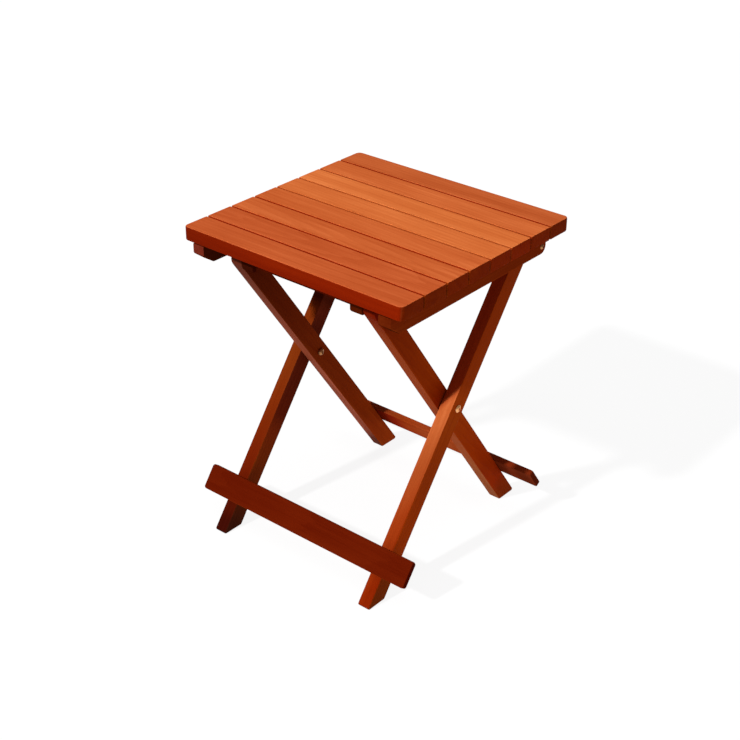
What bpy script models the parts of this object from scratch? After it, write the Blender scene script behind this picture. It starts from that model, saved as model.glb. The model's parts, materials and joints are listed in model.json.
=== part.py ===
"""Folding picnic table: a slatted hardwood top on two crossed pairs of legs.

The top turns on two bolts at its rear. The inner legs turn on two scissor bolts and
carry a round catch bar at their tops, which two hook cleats under the top hold open.

Frame: metres, +Z up, floor at z = 0, origin midway between the feet.
X runs along the slats, -Y is the front, where the catch is.
"""
from math import atan2, ceil, cos, pi, radians, sin, tan

import bmesh
import bpy
from mathutils import Matrix, Vector

# Top
TOP_LENGTH = 0.400          # length of a slat, along X
TABLE_HEIGHT = 0.5035       # floor to the upper face of the slats
SLAT_COUNT = 8
SLAT_WIDTH = 0.0465
SLAT_GAP = 0.0023
SLAT_THICK = 0.0215
TOP_CORNER = 0.008          # plan radius at the four corners of the top
EASE = 0.0017               # rounding of the sawn edges

# Rails under the slats
RAIL_THICK = 0.0215
RAIL_DEPTH = 0.030
RAIL_INSET = 0.018          # slat end to the outer face of the rail
RAIL_NOSE_HEIGHT = 0.015    # upright part of the front end, above the slant
RAIL_NOSE_SLANT = 0.020     # length of the slant along the rail
RAIL_REAR_REACH = 0.0115    # hinge bolt to the rear end of the rail

# Legs
LEG_WIDTH = 0.0315
LEG_THICK = 0.021
FOOT_ROUND = 0.003
LEG_TOP_CLEARANCE = 0.0018  # outer leg's rounded top to the slats
BAR_LEG_CLEARANCE = 0.0042  # inner leg's rounded top to the slats
RAIL_LEG_GAP = 0.0039       # rail to outer leg
LEG_LEG_GAP = 0.0020        # outer leg to inner leg
HINGE_SETBACK = 0.0406      # rear edge of the top to the hinge bolts
CATCH_SETBACK = 0.0425      # front edge of the top to the catch bar
SCISSOR_HEIGHT = 0.2512     # floor to the scissor bolts
SCISSOR_FORWARD = 0.0033    # scissor bolts, ahead of the middle between hinge and catch

# Stretcher boards
STRETCHER_WIDTH = 0.041
STRETCHER_THICK = 0.010
STRETCHER_OVERHANG = 0.0448  # past the outer face of the outer legs
STRETCHER_CORNER = 0.004
FRONT_STRETCHER_UP = 0.054   # along the leg, floor to the lower edge
REAR_STRETCHER_UP = 0.0624

# Catch
BAR_DIAMETER = 0.016
BAR_END_COVER = 0.006       # wood left in the leg past the bar's end
CLEAT_THICK = 0.0215
CLEAT_DEPTH = 0.030
CLEAT_NOSE = 0.0085         # thickness of the hook in front of the bar
CLEAT_NOSE_ROUND = 0.0055
CLEAT_LEG_GAP = 0.0011
CLEAT_SLAT = 2              # the cleats are screwed to this slat, counted from the front

# Fixings
HINGE_BOLT = 0.005
HINGE_HEAD_LIP = 0.0017     # head, past the bolt's shank all round
HINGE_HEAD_RISE = 0.0026
HINGE_NUT_WALL = 0.0015     # flat of the nut, past the shank
HINGE_NUT_THICK = 0.004
HINGE_SPACER_WALL = 0.0045
SCISSOR_BOLT = 0.006
SCISSOR_HEAD_LIP = 0.003
SCISSOR_HEAD_RISE = 0.003
SCISSOR_NUT_WALL = 0.0022   # round cap nut, past the shank
SCISSOR_NUT_DEPTH = 0.003   # bolt's length inside the nut
SCISSOR_NUT_RISE = 0.0028   # dome over the bolt's end
SCISSOR_WASHER_WALL = 0.005
PEG = 0.006
SLAT_PEG_COVER = 0.0115     # wood left in the slat above a peg
RAIL_PEG_SINK = 0.010
STRETCHER_PEG_SPACING = 0.020
STRETCHER_PEG_COVER = 0.004
LEG_PEG_SINK = 0.011
SCREW = 0.004
SCREW_HEAD_LIP = 0.0019
SCREW_RIM = 0.0006          # straight rim of the countersunk head
SCREW_SUNK = 0.0004         # head's face, above the cleat's lower face
SCREW_COVER = 0.0095        # wood left in the slat above a screw's point
SCREW_SPACING = 0.020

SEAT = 0.0003               # gap between pieces that touch or fit
ROUND_STEPS = 20            # facets around a turned piece
PEG_STEPS = 10
SCREW_STEPS = 12
DOME_STEPS = 4              # rings of facets on a domed head
ARC_STEP = radians(20)      # facets along a rounded corner
SAME_POINT = 0.00001        # points nearer than this are one point


# Places worked out from the sizes above, first along Y from the hinge bolts
top_depth = SLAT_COUNT * SLAT_WIDTH + (SLAT_COUNT - 1) * SLAT_GAP
slat_under = TABLE_HEIGHT - SLAT_THICK
leg_radius = LEG_WIDTH / 2
hinge_drop = leg_radius + LEG_TOP_CLEARANCE
catch_drop = leg_radius + BAR_LEG_CLEARANCE
hinge_to_front = top_depth - HINGE_SETBACK
hinge_to_catch = hinge_to_front - CATCH_SETBACK
hinge_height = slat_under - hinge_drop
catch_height = slat_under - catch_drop
scissor_to_hinge = Vector((hinge_to_catch / 2 + SCISSOR_FORWARD, hinge_height - SCISSOR_HEIGHT))
scissor_to_catch = scissor_to_hinge - Vector((hinge_to_catch, hinge_height - catch_height))
outer_angle = atan2(scissor_to_hinge.y, scissor_to_hinge.x)
inner_angle = atan2(scissor_to_catch.y, scissor_to_catch.x)


def toe_reach(angle):
    """Level distance from the scissor bolts to the rounded toe of a leg at this slope."""
    slope = min(angle, pi - angle)
    sharp_toe = SCISSOR_HEIGHT / tan(slope) + leg_radius / sin(slope)
    return sharp_toe - FOOT_ROUND * (1 / tan(slope / 2) - 1)


# The origin lies under the middle of the open table, from toe or top edge to toe or top edge
scissor_to_rear_edge = scissor_to_hinge.x + HINGE_SETBACK
reach_rear = max(toe_reach(inner_angle), scissor_to_rear_edge)
reach_front = max(toe_reach(outer_angle), top_depth - scissor_to_rear_edge)
scissor_y = (reach_front - reach_rear) / 2
hinge_y = scissor_y + scissor_to_hinge.x
catch_y = hinge_y - hinge_to_catch
front_y = hinge_y - hinge_to_front

# Places along X, from the ends of the slats inwards
rail_outer_x = TOP_LENGTH / 2 - RAIL_INSET
rail_inner_x = rail_outer_x - RAIL_THICK
outer_leg_out_x = rail_inner_x - RAIL_LEG_GAP
outer_leg_in_x = outer_leg_out_x - LEG_THICK
inner_leg_out_x = outer_leg_in_x - LEG_LEG_GAP
inner_leg_in_x = inner_leg_out_x - LEG_THICK
cleat_out_x = inner_leg_in_x - CLEAT_LEG_GAP
stretcher_length = 2 * (outer_leg_out_x + STRETCHER_OVERHANG)
SIDES = {"left": -1, "right": 1}


def clear_scene():
    for thing in list(bpy.data.objects):
        bpy.data.objects.remove(thing, do_unlink=True)


def new_collection(name):
    collection = bpy.data.collections.new(name)
    bpy.context.scene.collection.children.link(collection)
    return collection


def finish(name, colour, roughness, metallic=0.0):
    """A plain surface with one colour."""
    material = bpy.data.materials.new(name)
    material.use_nodes = True
    shader = material.node_tree.nodes["Principled BSDF"]
    shader.inputs["Base Color"].default_value = (*colour, 1.0)
    shader.inputs["Roughness"].default_value = roughness
    shader.inputs["Metallic"].default_value = metallic
    return material


clear_scene()
pieces = new_collection("folding_picnic_table")
cutters = new_collection("cutters")
TOP_WOOD = finish("top_hardwood", (0.50, 0.115, 0.030), 0.42)
RAIL_WOOD = finish("rail_hardwood", (0.22, 0.030, 0.006), 0.50)
LEG_WOOD = finish("leg_hardwood", (0.42, 0.095, 0.030), 0.45)
STRETCHER_WOOD = finish("stretcher_hardwood", (0.25, 0.035, 0.008), 0.48)
BAR_WOOD = finish("bar_hardwood", (0.36, 0.085, 0.026), 0.50)
PEG_WOOD = finish("peg_beech", (0.55, 0.36, 0.20), 0.60)
BRASSED_STEEL = finish("brassed_steel", (0.72, 0.46, 0.22), 0.35, 1.0)
ZINC_STEEL = finish("zinc_steel", (0.55, 0.55, 0.53), 0.40, 1.0)


def joint_empty(name, y, z):
    """An empty on a joint's axis, which runs along X."""
    empty = bpy.data.objects.new(name, None)
    empty.location = (0, y, z)
    empty.empty_display_size = 0.03
    pieces.objects.link(empty)
    return empty


frame_axis = joint_empty("outer_frame_axis", scissor_y, SCISSOR_HEIGHT)
scissor_axis = joint_empty("leg_scissor_axis", scissor_y, SCISSOR_HEIGHT)
hinge_axis = joint_empty("top_hinge_axis", hinge_y, hinge_height)


def add_piece(name, mesh, parent, material, location=(0, 0, 0), rotation=(0, 0, 0)):
    """A named piece, placed in its parent's frame."""
    piece = bpy.data.objects.new(name, mesh)
    piece.parent = parent
    piece.location = location
    piece.rotation_euler = rotation
    piece.data.materials.append(material)
    pieces.objects.link(piece)
    return piece


def ease_edges(piece):
    bevel = piece.modifiers.new("eased_edges", "BEVEL")
    bevel.width = EASE
    bevel.segments = 2
    bevel.limit_method = "ANGLE"
    bevel.angle_limit = radians(40)


def shade_round(mesh):
    mesh.shade_smooth()
    mesh.set_sharp_from_angle(angle=radians(35))


def cut(piece, cutter):
    boolean = piece.modifiers.new(cutter.name, "BOOLEAN")
    boolean.operation = "DIFFERENCE"
    boolean.object = cutter


def add_cutter(name, mesh):
    cutter = bpy.data.objects.new(name, mesh)
    cutter.hide_render = True
    cutter.display_type = "WIRE"
    cutters.objects.link(cutter)
    return cutter


def filleted(corners):
    """Outline points from corners (x, y, radius); a radius of 0 keeps the corner sharp."""
    outline = []
    for index, (x, y, radius) in enumerate(corners):
        corner = Vector((x, y))
        before = Vector(corners[index - 1][:2]) - corner
        after = Vector(corners[(index + 1) % len(corners)][:2]) - corner
        before.normalize()
        after.normalize()
        turn = pi - before.angle(after)
        if radius == 0 or turn == 0:
            outline.append(corner)
            continue
        centre = corner + (before + after).normalized() * radius / cos(turn / 2)
        start = corner + before * radius * tan(turn / 2) - centre
        way = 1 if before.x * after.y - before.y * after.x < 0 else -1
        steps = max(2, ceil(turn / ARC_STEP))
        for step in range(steps + 1):
            outline.append(centre + Matrix.Rotation(way * turn * step / steps, 2) @ start)
    following = outline[1:] + outline[:1]
    return [point for point, after in zip(outline, following) if (after - point).length > SAME_POINT]


def board(name, corners, thick):
    """A board's mesh: a filleted outline, its thickness along local z and centred on it."""
    outline = filleted(corners)
    curve = bpy.data.curves.new(name, "CURVE")
    curve.dimensions = "2D"
    curve.fill_mode = "BOTH"
    curve.extrude = thick / 2
    spline = curve.splines.new("POLY")
    spline.points.add(len(outline) - 1)
    for point, (x, y) in zip(spline.points, outline):
        point.co = (x, y, 0, 1)
    spline.use_cyclic_u = True
    drawing = bpy.data.objects.new(name + "_drawing", curve)
    cutters.objects.link(drawing)
    depsgraph = bpy.context.evaluated_depsgraph_get()
    mesh = bpy.data.meshes.new_from_object(drawing.evaluated_get(depsgraph))
    bpy.data.objects.remove(drawing, do_unlink=True)
    solid = bmesh.new()
    solid.from_mesh(mesh)
    bmesh.ops.remove_doubles(solid, verts=solid.verts, dist=SAME_POINT)
    bmesh.ops.dissolve_limit(solid, angle_limit=radians(0.5), verts=solid.verts, edges=solid.edges)
    bmesh.ops.recalc_face_normals(solid, faces=solid.faces)
    solid.to_mesh(mesh)
    solid.free()
    mesh.name = name
    return mesh


def rods(name, centres, direction, radius, length, steps=ROUND_STEPS):
    """Straight round rods of one size, each centred on its point, as separate solids."""
    turn = Vector((0, 0, 1)).rotation_difference(Vector(direction)).to_matrix().to_4x4()
    solid = bmesh.new()
    for centre in centres:
        bmesh.ops.create_cone(solid, cap_ends=True, segments=steps, radius1=radius, radius2=radius,
                              depth=length, matrix=Matrix.Translation(centre) @ turn)
    mesh = bpy.data.meshes.new(name)
    solid.to_mesh(mesh)
    solid.free()
    shade_round(mesh)
    return mesh


def turned(name, profile, steps=ROUND_STEPS):
    """A mesh turned about local z from (radius, height) points that run from top to bottom."""
    solid = bmesh.new()
    points = [solid.verts.new((radius, 0, height)) for radius, height in profile]
    for upper, lower in zip(points, points[1:]):
        solid.edges.new((upper, lower))
    half = bpy.data.meshes.new(name + "_profile")
    solid.to_mesh(half)
    solid.free()
    blank = bpy.data.objects.new(name + "_blank", half)
    cutters.objects.link(blank)
    screw = blank.modifiers.new("turned", "SCREW")
    screw.steps = steps
    screw.render_steps = steps
    screw.use_merge_vertices = True
    screw.merge_threshold = SAME_POINT
    depsgraph = bpy.context.evaluated_depsgraph_get()
    mesh = bpy.data.meshes.new_from_object(blank.evaluated_get(depsgraph))
    bpy.data.objects.remove(blank, do_unlink=True)
    mesh.name = name
    shade_round(mesh)
    return mesh


def dome(radius, rise, height):
    """Profile points of a low dome, from its crown down to its rim at the height given."""
    sphere = (radius * radius + rise * rise) / (2 * rise)
    reach = atan2(radius, sphere - rise)
    points = []
    for step in range(DOME_STEPS + 1):
        angle = reach * step / DOME_STEPS
        points.append((sphere * sin(angle), height + rise - sphere * (1 - cos(angle))))
    return points


def across(side):
    """Rotation that lays a turned piece along X, its local +z pointing to that side."""
    return (0, side * pi / 2, 0)


def leg_point(angle, along, out=0.0):
    """Place on a leg seen from the scissor bolts: along the leg, and out from its middle."""
    return Vector((0, cos(angle) * along - sin(angle) * out, sin(angle) * along + cos(angle) * out))


def foot_along(angle, out):
    """Where the floor meets the leg's line that lies out from its middle."""
    return -(SCISSOR_HEIGHT + out * cos(angle)) / sin(angle)


# Holes that run along X through several pieces
def cross_hole(name, y, z, diameter, half_length):
    mesh = rods(name, [(0, y, z)], (1, 0, 0), diameter / 2 + SEAT, 2 * half_length)
    return add_cutter(name, mesh)


hinge_nut_corner = (HINGE_BOLT / 2 + HINGE_NUT_WALL) / cos(pi / 6)
hinge_hole = cross_hole("hinge_hole", hinge_y, hinge_height, HINGE_BOLT, TOP_LENGTH)
nut_recess = cross_hole("hinge_nut_recess", hinge_y, hinge_height, 2 * hinge_nut_corner,
                        outer_leg_in_x + HINGE_NUT_THICK + SEAT)
scissor_hole = cross_hole("scissor_hole", scissor_y, SCISSOR_HEIGHT, SCISSOR_BOLT, TOP_LENGTH)
bar_end_x = inner_leg_out_x - BAR_END_COVER
bar_hole = cross_hole("bar_hole", catch_y, catch_height, BAR_DIAMETER, bar_end_x)


# Slats, counted from the front
def slat_span(number):
    front = front_y + (number - 1) * (SLAT_WIDTH + SLAT_GAP)
    return front, front + SLAT_WIDTH


rail_front = front_y
rail_rear = hinge_y + RAIL_REAR_REACH


def slat_peg_y(number):
    """Middle of the stretch where the slat lies on the rails."""
    front, rear = slat_span(number)
    return (max(front, rail_front) + min(rear, rail_rear)) / 2


rail_mid_x = (rail_outer_x + rail_inner_x) / 2
slat_peg_top = TABLE_HEIGHT - SLAT_PEG_COVER
slat_peg_foot = slat_under - RAIL_PEG_SINK
slat_peg_length = slat_peg_top - slat_peg_foot
slat_peg_mid = (slat_peg_top + slat_peg_foot) / 2
slat_numbers = range(1, SLAT_COUNT + 1)
slat_peg_places = {
    side: [(way * rail_mid_x, slat_peg_y(number), slat_peg_mid) for number in slat_numbers]
    for side, way in SIDES.items()
}
slat_peg_holes = add_cutter("slat_peg_holes", rods(
    "slat_peg_holes", slat_peg_places["left"] + slat_peg_places["right"], (0, 0, 1),
    PEG / 2 + SEAT, slat_peg_length + 2 * SEAT, PEG_STEPS))

# Screws that hold the cleats, heads down
cleat_under = catch_height + BAR_DIAMETER / 2 + SEAT
cleat_mid_x = cleat_out_x - CLEAT_THICK / 2
screw_slat_y = sum(slat_span(CLEAT_SLAT)) / 2
screw_places = {
    side: [(way * cleat_mid_x, screw_slat_y + shift * SCREW_SPACING / 2, cleat_under) for shift in (-1, 1)]
    for side, way in SIDES.items()
}
screw_rise = TABLE_HEIGHT - SCREW_COVER - cleat_under


def screw_profile(spare, foot):
    """A countersunk screw, head down, its face at the foot's height, grown by the spare."""
    shank = SCREW / 2 + spare
    head = shank + SCREW_HEAD_LIP
    rim_top = SCREW_SUNK + SCREW_RIM + spare
    point = screw_rise + spare
    return [(0, point), (shank, point - SCREW), (shank, rim_top + SCREW_HEAD_LIP), (head, rim_top),
            (head, foot), (0, foot)]


def screw_hole_group(name):
    """Clearance holes for all the cleat screws, as one cutter."""
    one = turned(name + "_one", screw_profile(SEAT, -SCREW_SUNK), SCREW_STEPS)
    solid = bmesh.new()
    for place in screw_places["left"] + screw_places["right"]:
        copy = one.copy()
        copy.transform(Matrix.Translation(place))
        solid.from_mesh(copy)
    mesh = bpy.data.meshes.new(name)
    solid.to_mesh(mesh)
    solid.free()
    return mesh


screw_holes = add_cutter("cleat_screw_holes", screw_hole_group("cleat_screw_holes"))


def in_hinge_frame(x, y, z):
    return (x, y - hinge_y, z - hinge_height)


def make_slat(number):
    """One slat; the first and last have the rounded corners of the top."""
    front, rear = slat_span(number)
    half_length = TOP_LENGTH / 2
    front_round = TOP_CORNER if number == 1 else 0
    rear_round = TOP_CORNER if number == SLAT_COUNT else 0
    half_width = SLAT_WIDTH / 2
    corners = [(-half_length, -half_width, front_round), (half_length, -half_width, front_round),
               (half_length, half_width, rear_round), (-half_length, half_width, rear_round)]
    name = f"slat_{number}"
    place = in_hinge_frame(0, (front + rear) / 2, slat_under + SLAT_THICK / 2)
    slat = add_piece(name, board(name, corners, SLAT_THICK), hinge_axis, TOP_WOOD, place)
    ease_edges(slat)
    cut(slat, slat_peg_holes)
    if number == CLEAT_SLAT:
        cut(slat, screw_holes)


# A board whose outline is drawn in the side view turns so that its thickness lies along X
SIDE_ON = (pi / 2, 0, pi / 2)


def make_rail(side, way):
    """A bearer with a slanted nose at the front and a rounded heel at the hinge."""
    top = hinge_drop - SEAT
    bottom = top - RAIL_DEPTH
    front = rail_front - hinge_y
    rear = RAIL_REAR_REACH
    slant_foot = front + RAIL_NOSE_SLANT
    heel = min(rear, RAIL_DEPTH / 2)
    corners = [(rear, top, 2 * EASE), (front, top, 0), (front, top - RAIL_NOSE_HEIGHT, 2 * EASE),
               (slant_foot, bottom, 2 * EASE), (rear, bottom, heel)]
    name = f"rail_{side}"
    rail = add_piece(name, board(name, corners, RAIL_THICK), hinge_axis, RAIL_WOOD,
                     (way * rail_mid_x, 0, 0), SIDE_ON)
    ease_edges(rail)
    cut(rail, hinge_hole)
    cut(rail, slat_peg_holes)


def make_cleat(side, way):
    """A hook under the top: its nose stands in front of the catch bar, the bar sits in its throat."""
    bar_y = catch_y - hinge_y
    bar_z = catch_height - hinge_height
    throat = BAR_DIAMETER / 2 + SEAT
    top = hinge_drop - SEAT
    bottom = top - CLEAT_DEPTH
    nose_front = bar_y - throat - CLEAT_NOSE
    rear = slat_span(CLEAT_SLAT)[1] - hinge_y
    plate_under = bar_z + throat
    nose_round = min(CLEAT_NOSE_ROUND, CLEAT_NOSE - 1.5 * EASE)
    corners = [(rear, top, 0), (nose_front, top, 0), (nose_front, bottom, nose_round),
               (bar_y - throat, bottom, 0), (bar_y - throat, plate_under, throat),
               (rear, plate_under, 2 * EASE)]
    name = f"hook_cleat_{side}"
    cleat = add_piece(name, board(name, corners, CLEAT_THICK), hinge_axis, RAIL_WOOD,
                      (way * cleat_mid_x, 0, 0), SIDE_ON)
    ease_edges(cleat)
    cut(cleat, screw_holes)


def leg_corners(angle, top_along):
    """Outline of a leg along its own length: level foot, round top about its upper hole."""
    end = top_along + leg_radius
    return [(foot_along(angle, -leg_radius), -leg_radius, FOOT_ROUND), (end, -leg_radius, leg_radius),
            (end, leg_radius, leg_radius), (foot_along(angle, leg_radius), leg_radius, FOOT_ROUND)]


def leg_rotation(angle):
    return (pi / 2, -angle, pi / 2)


# Pegs between legs and stretchers: in each leg, one pair, measured along the leg
front_peg_along = foot_along(outer_angle, leg_radius) + FRONT_STRETCHER_UP + STRETCHER_WIDTH / 2
rear_peg_along = foot_along(inner_angle, -leg_radius) + REAR_STRETCHER_UP + STRETCHER_WIDTH / 2
stretcher_peg_sink = STRETCHER_THICK - STRETCHER_PEG_COVER
stretcher_peg_length = stretcher_peg_sink + LEG_PEG_SINK
stretcher_peg_shift = (stretcher_peg_sink - LEG_PEG_SINK) / 2


def stretcher_peg_places(angle, along, face, leg_x):
    """Peg middles for each side, from the scissor bolts; the board lies on the face +1 or -1."""
    out = face * (leg_radius + stretcher_peg_shift)
    return {
        side: [leg_point(angle, along + shift * STRETCHER_PEG_SPACING / 2, out) + Vector((way * leg_x, 0, 0))
               for shift in (-1, 1)]
        for side, way in SIDES.items()
    }


def stretcher_peg_holes(name, seam):
    axis = Vector((0, scissor_y, SCISSOR_HEIGHT))
    places = [place + axis for pair in stretcher_peg_places(*seam).values() for place in pair]
    direction = leg_point(seam[0], 0, 1)
    mesh = rods(name, places, direction, PEG / 2 + SEAT, stretcher_peg_length + 2 * SEAT, PEG_STEPS)
    return add_cutter(name, mesh)


outer_leg_mid_x = (outer_leg_out_x + outer_leg_in_x) / 2
inner_leg_mid_x = (inner_leg_out_x + inner_leg_in_x) / 2
front_seam = (outer_angle, front_peg_along, 1, outer_leg_mid_x)
rear_seam = (inner_angle, rear_peg_along, -1, inner_leg_mid_x)
front_peg_holes = stretcher_peg_holes("front_peg_holes", front_seam)
rear_peg_holes = stretcher_peg_holes("rear_peg_holes", rear_seam)


def make_outer_leg(side, way):
    name = f"outer_leg_{side}"
    corners = leg_corners(outer_angle, scissor_to_hinge.length)
    leg = add_piece(name, board(name, corners, LEG_THICK), frame_axis, LEG_WOOD,
                    (way * outer_leg_mid_x, 0, 0), leg_rotation(outer_angle))
    ease_edges(leg)
    for hole in (hinge_hole, nut_recess, scissor_hole, front_peg_holes):
        cut(leg, hole)


def make_inner_leg(side, way):
    name = f"inner_leg_{side}"
    corners = leg_corners(inner_angle, scissor_to_catch.length)
    leg = add_piece(name, board(name, corners, LEG_THICK), scissor_axis, LEG_WOOD,
                    (way * inner_leg_mid_x, 0, 0), leg_rotation(inner_angle))
    ease_edges(leg)
    for hole in (scissor_hole, bar_hole, rear_peg_holes):
        cut(leg, hole)


def make_stretcher(name, seam, parent, peg_holes):
    """A thin board across a pair of legs, on the face that the seam names."""
    angle, along, face, _ = seam
    half_length = stretcher_length / 2
    half_width = STRETCHER_WIDTH / 2
    corners = [(-half_length, -half_width, STRETCHER_CORNER), (half_length, -half_width, STRETCHER_CORNER),
               (half_length, half_width, STRETCHER_CORNER), (-half_length, half_width, STRETCHER_CORNER)]
    out = face * (leg_radius + SEAT + STRETCHER_THICK / 2)
    stretcher = add_piece(name, board(name, corners, STRETCHER_THICK), parent, STRETCHER_WOOD,
                          leg_point(angle, along, out), (angle, 0, 0))
    ease_edges(stretcher)
    cut(stretcher, peg_holes)


def hex_nut(name, corner, thick):
    """A hexagon along local z with its lower face at z = 0."""
    solid = bmesh.new()
    bmesh.ops.create_cone(solid, cap_ends=True, segments=6, radius1=corner, radius2=corner, depth=thick,
                          matrix=Matrix.Translation((0, 0, thick / 2)))
    mesh = bpy.data.meshes.new(name)
    solid.to_mesh(mesh)
    solid.free()
    return mesh


def make_hinge_fixings(side, way):
    """Bolt from the rail's outer face, spacer, and a nut sunk into the leg's inner face."""
    shank_end = outer_leg_in_x + SEAT
    head_seat = rail_outer_x + SEAT
    shank = HINGE_BOLT / 2
    profile = dome(shank + HINGE_HEAD_LIP, HINGE_HEAD_RISE, head_seat)
    profile += [(shank, head_seat), (shank, shank_end), (0, shank_end)]
    bolt = turned(f"hinge_bolt_{side}", profile)
    add_piece(bolt.name, bolt, hinge_axis, BRASSED_STEEL, rotation=across(way))
    spacer_x = (rail_inner_x + outer_leg_out_x) / 2
    ring = rods(f"hinge_spacer_{side}", [(0, 0, 0)], (0, 0, 1), shank + HINGE_SPACER_WALL,
                RAIL_LEG_GAP - 2 * SEAT)
    spacer = add_piece(ring.name, ring, hinge_axis, ZINC_STEEL, (way * spacer_x, 0, 0), across(way))
    cut(spacer, hinge_hole)
    hexagon = hex_nut(f"hinge_nut_{side}", hinge_nut_corner, HINGE_NUT_THICK - SEAT)
    nut = add_piece(hexagon.name, hexagon, hinge_axis, ZINC_STEEL, (way * shank_end, 0, 0), across(way))
    cut(nut, hinge_hole)


def make_scissor_fixings(side, way):
    """Round-headed bolt through the crossed legs, a washer between them and a cap nut inside."""
    nut_seat = inner_leg_in_x - SEAT
    bolt_end = nut_seat - SCISSOR_NUT_DEPTH
    head_seat = outer_leg_out_x + SEAT
    shank = SCISSOR_BOLT / 2
    profile = dome(shank + SCISSOR_HEAD_LIP, SCISSOR_HEAD_RISE, head_seat)
    profile += [(shank, head_seat), (shank, bolt_end), (0, bolt_end)]
    bolt = turned(f"scissor_bolt_{side}", profile)
    add_piece(bolt.name, bolt, frame_axis, BRASSED_STEEL, rotation=across(way))
    washer_x = (outer_leg_in_x + inner_leg_out_x) / 2
    ring = rods(f"scissor_washer_{side}", [(0, 0, 0)], (0, 0, 1), shank + SCISSOR_WASHER_WALL,
                LEG_LEG_GAP - 2 * SEAT)
    washer = add_piece(ring.name, ring, frame_axis, ZINC_STEEL, (way * washer_x, 0, 0), across(way))
    cut(washer, scissor_hole)
    bore = shank + SEAT
    rim = shank + SCISSOR_NUT_WALL
    bore_end = SCISSOR_NUT_DEPTH + SEAT
    cap = dome(rim, SCISSOR_NUT_RISE, SCISSOR_NUT_DEPTH)
    cap += [(rim, 0), (bore, 0), (bore, bore_end), (0, bore_end)]
    nut = turned(f"scissor_nut_{side}", cap)
    add_piece(nut.name, nut, scissor_axis, BRASSED_STEEL, (way * nut_seat, 0, 0), across(-way))


def make_catch_bar():
    """A round dowel whose ends are glued into blind holes in the inner legs."""
    bar = rods("catch_bar", [(0, 0, 0)], (1, 0, 0), BAR_DIAMETER / 2, 2 * (bar_end_x - SEAT))
    add_piece(bar.name, bar, scissor_axis, BAR_WOOD, leg_point(inner_angle, scissor_to_catch.length))


def make_slat_pegs(side):
    for number, place in zip(slat_numbers, slat_peg_places[side]):
        peg = rods(f"slat_peg_{side}_{number}", [(0, 0, 0)], (0, 0, 1), PEG / 2, slat_peg_length, PEG_STEPS)
        add_piece(peg.name, peg, hinge_axis, PEG_WOOD, in_hinge_frame(*place))


def make_cleat_screws(side):
    for number, place in enumerate(screw_places[side], start=1):
        screw = turned(f"cleat_screw_{side}_{number}", screw_profile(0, SCREW_SUNK), SCREW_STEPS)
        add_piece(screw.name, screw, hinge_axis, ZINC_STEEL, in_hinge_frame(*place))


def make_stretcher_pegs(name, seam, parent):
    """Two blind pegs in each leg of a pair, square to the seam."""
    tilt = (seam[0], 0, 0)
    for side, places in stretcher_peg_places(*seam).items():
        for number, place in enumerate(places, start=1):
            peg = rods(f"{name}_{side}_{number}", [(0, 0, 0)], (0, 0, 1), PEG / 2, stretcher_peg_length,
                       PEG_STEPS)
            add_piece(peg.name, peg, parent, PEG_WOOD, place, tilt)


for slat_number in slat_numbers:
    make_slat(slat_number)
for side_name, side_way in SIDES.items():
    make_rail(side_name, side_way)
    make_cleat(side_name, side_way)
    make_outer_leg(side_name, side_way)
    make_inner_leg(side_name, side_way)
    make_hinge_fixings(side_name, side_way)
    make_scissor_fixings(side_name, side_way)
    make_slat_pegs(side_name)
    make_cleat_screws(side_name)
make_stretcher("front_stretcher", front_seam, frame_axis, front_peg_holes)
make_stretcher("rear_stretcher", rear_seam, scissor_axis, rear_peg_holes)
make_stretcher_pegs("front_peg", front_seam, frame_axis)
make_stretcher_pegs("rear_peg", rear_seam, scissor_axis)
make_catch_bar()
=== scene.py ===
import json
from math import atan2, cos, pi, radians, sin, sqrt

import bmesh
import bpy
from mathutils import Euler, Matrix, Vector


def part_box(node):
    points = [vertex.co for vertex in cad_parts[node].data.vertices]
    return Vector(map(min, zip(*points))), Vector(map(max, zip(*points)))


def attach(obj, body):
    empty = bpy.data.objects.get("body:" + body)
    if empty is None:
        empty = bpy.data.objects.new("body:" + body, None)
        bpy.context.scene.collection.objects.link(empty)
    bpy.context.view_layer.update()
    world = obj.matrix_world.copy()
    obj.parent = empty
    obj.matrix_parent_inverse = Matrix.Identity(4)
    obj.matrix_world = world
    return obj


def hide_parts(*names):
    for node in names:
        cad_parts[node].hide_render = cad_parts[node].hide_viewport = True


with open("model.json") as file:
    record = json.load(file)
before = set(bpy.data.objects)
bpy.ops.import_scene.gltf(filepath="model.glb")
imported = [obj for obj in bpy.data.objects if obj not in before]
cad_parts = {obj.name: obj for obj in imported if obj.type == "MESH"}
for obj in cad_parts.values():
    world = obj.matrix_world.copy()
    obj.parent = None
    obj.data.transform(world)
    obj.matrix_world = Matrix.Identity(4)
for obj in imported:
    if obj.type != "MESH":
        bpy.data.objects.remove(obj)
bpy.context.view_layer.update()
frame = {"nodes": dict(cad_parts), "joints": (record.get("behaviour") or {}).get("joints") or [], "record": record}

# Outer legs
# Two straight legs of planed hardwood, stained red-brown and oiled to a low sheen. Their long edges are
# eased by hand, their feet are cut level with the floor, and the hinge bolts pass through their tops.
joint_places = {joint["name"]: Vector(joint["pos_m"]) for joint in frame["joints"]}
hinge = joint_places["top_hinge"]
scissor = joint_places["leg_scissor"]
outer_slope = atan2(hinge.z - scissor.z, hinge.y - scissor.y)
SIDES = {"left": -1, "right": 1}

SHARP_BEND = radians(40)         # edges that bend less than this are shaded round
SAME_POINT = 0.00001             # facets' corners nearer than this are one corner


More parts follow.
